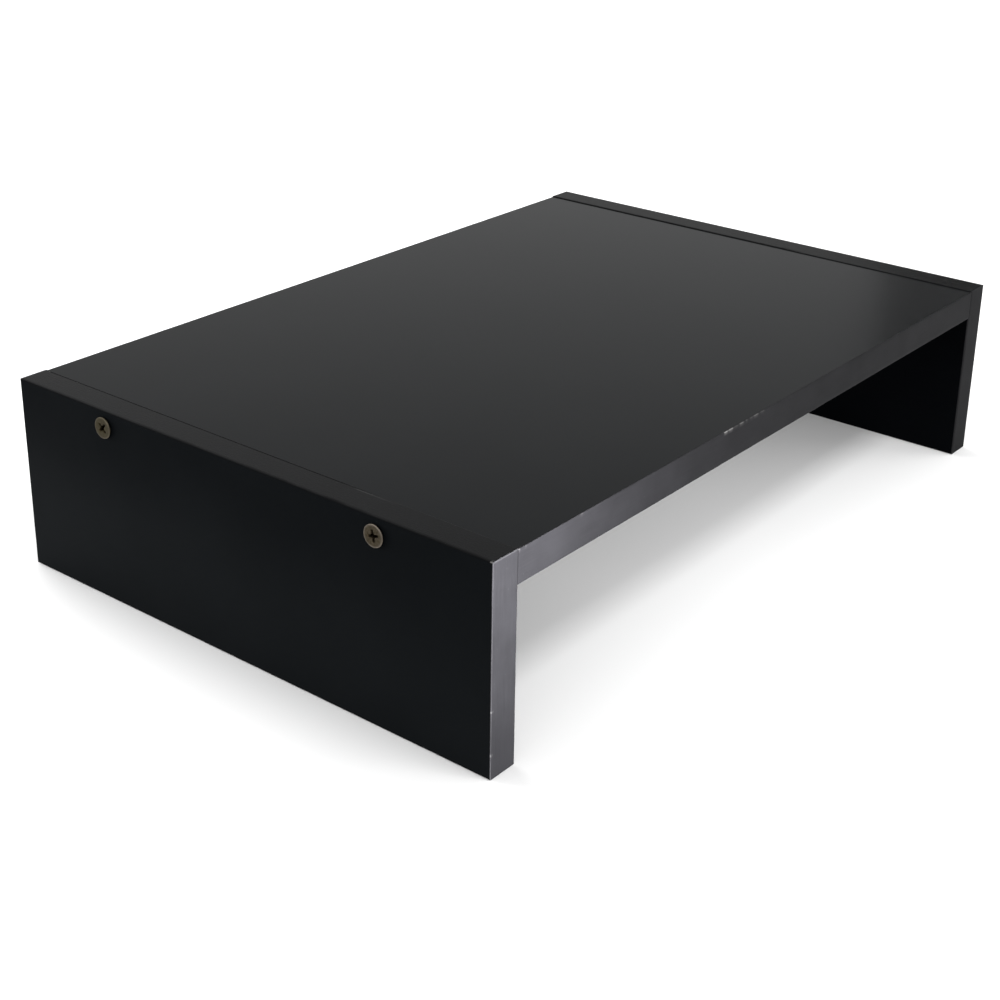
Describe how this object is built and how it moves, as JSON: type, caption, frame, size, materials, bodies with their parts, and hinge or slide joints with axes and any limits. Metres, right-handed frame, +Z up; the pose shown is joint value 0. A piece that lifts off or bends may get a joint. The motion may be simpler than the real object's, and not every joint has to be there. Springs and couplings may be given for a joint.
{
  "type": "monitor riser",
  "caption": "Low bench-shaped desktop riser: a black melamine-faced top board screwed between side panels, with open space under it for a keyboard.",
  "frame": {"origin": "middle of the footprint, on the surface that the riser stands on", "axes": "+X along the width, -Y is the front, +Z up"},
  "size_m": [0.4226, 0.28, 0.095],
  "materials": {
    "chipboard": "raw pressed wood particles, hidden under the facings and strips",
    "melamine": "smooth black melamine facing with a satin sheen",
    "edge_band": "black satin plastic edge strip with trimmed, slightly worn arrises",
    "screw": "steel with aged brass plating, darker inside the cross recess"
  },
  "bodies": {
    "root": {"top_board_core": "chipboard", "top_board_upper_laminate": "melamine", "top_board_lower_laminate": "melamine", "top_board_front_edge_band": "edge_band", "top_board_back_edge_band": "edge_band", "left_panel_core": "chipboard", "left_panel_outer_laminate": "melamine", "left_panel_inner_laminate": "melamine", "left_panel_front_edge_band": "edge_band", "left_panel_back_edge_band": "edge_band", "left_panel_top_edge_band": "edge_band", "left_panel_bottom_edge_band": "edge_band", "right_panel_core": "chipboard", "right_panel_outer_laminate": "melamine", "right_panel_inner_laminate": "melamine", "right_panel_front_edge_band": "edge_band", "right_panel_back_edge_band": "edge_band", "right_panel_top_edge_band": "edge_band", "right_panel_bottom_edge_band": "edge_band", "front_left_screw": "screw", "back_left_screw": "screw", "front_right_screw": "screw", "back_right_screw": "screw"}
  },
  "joints": []
}
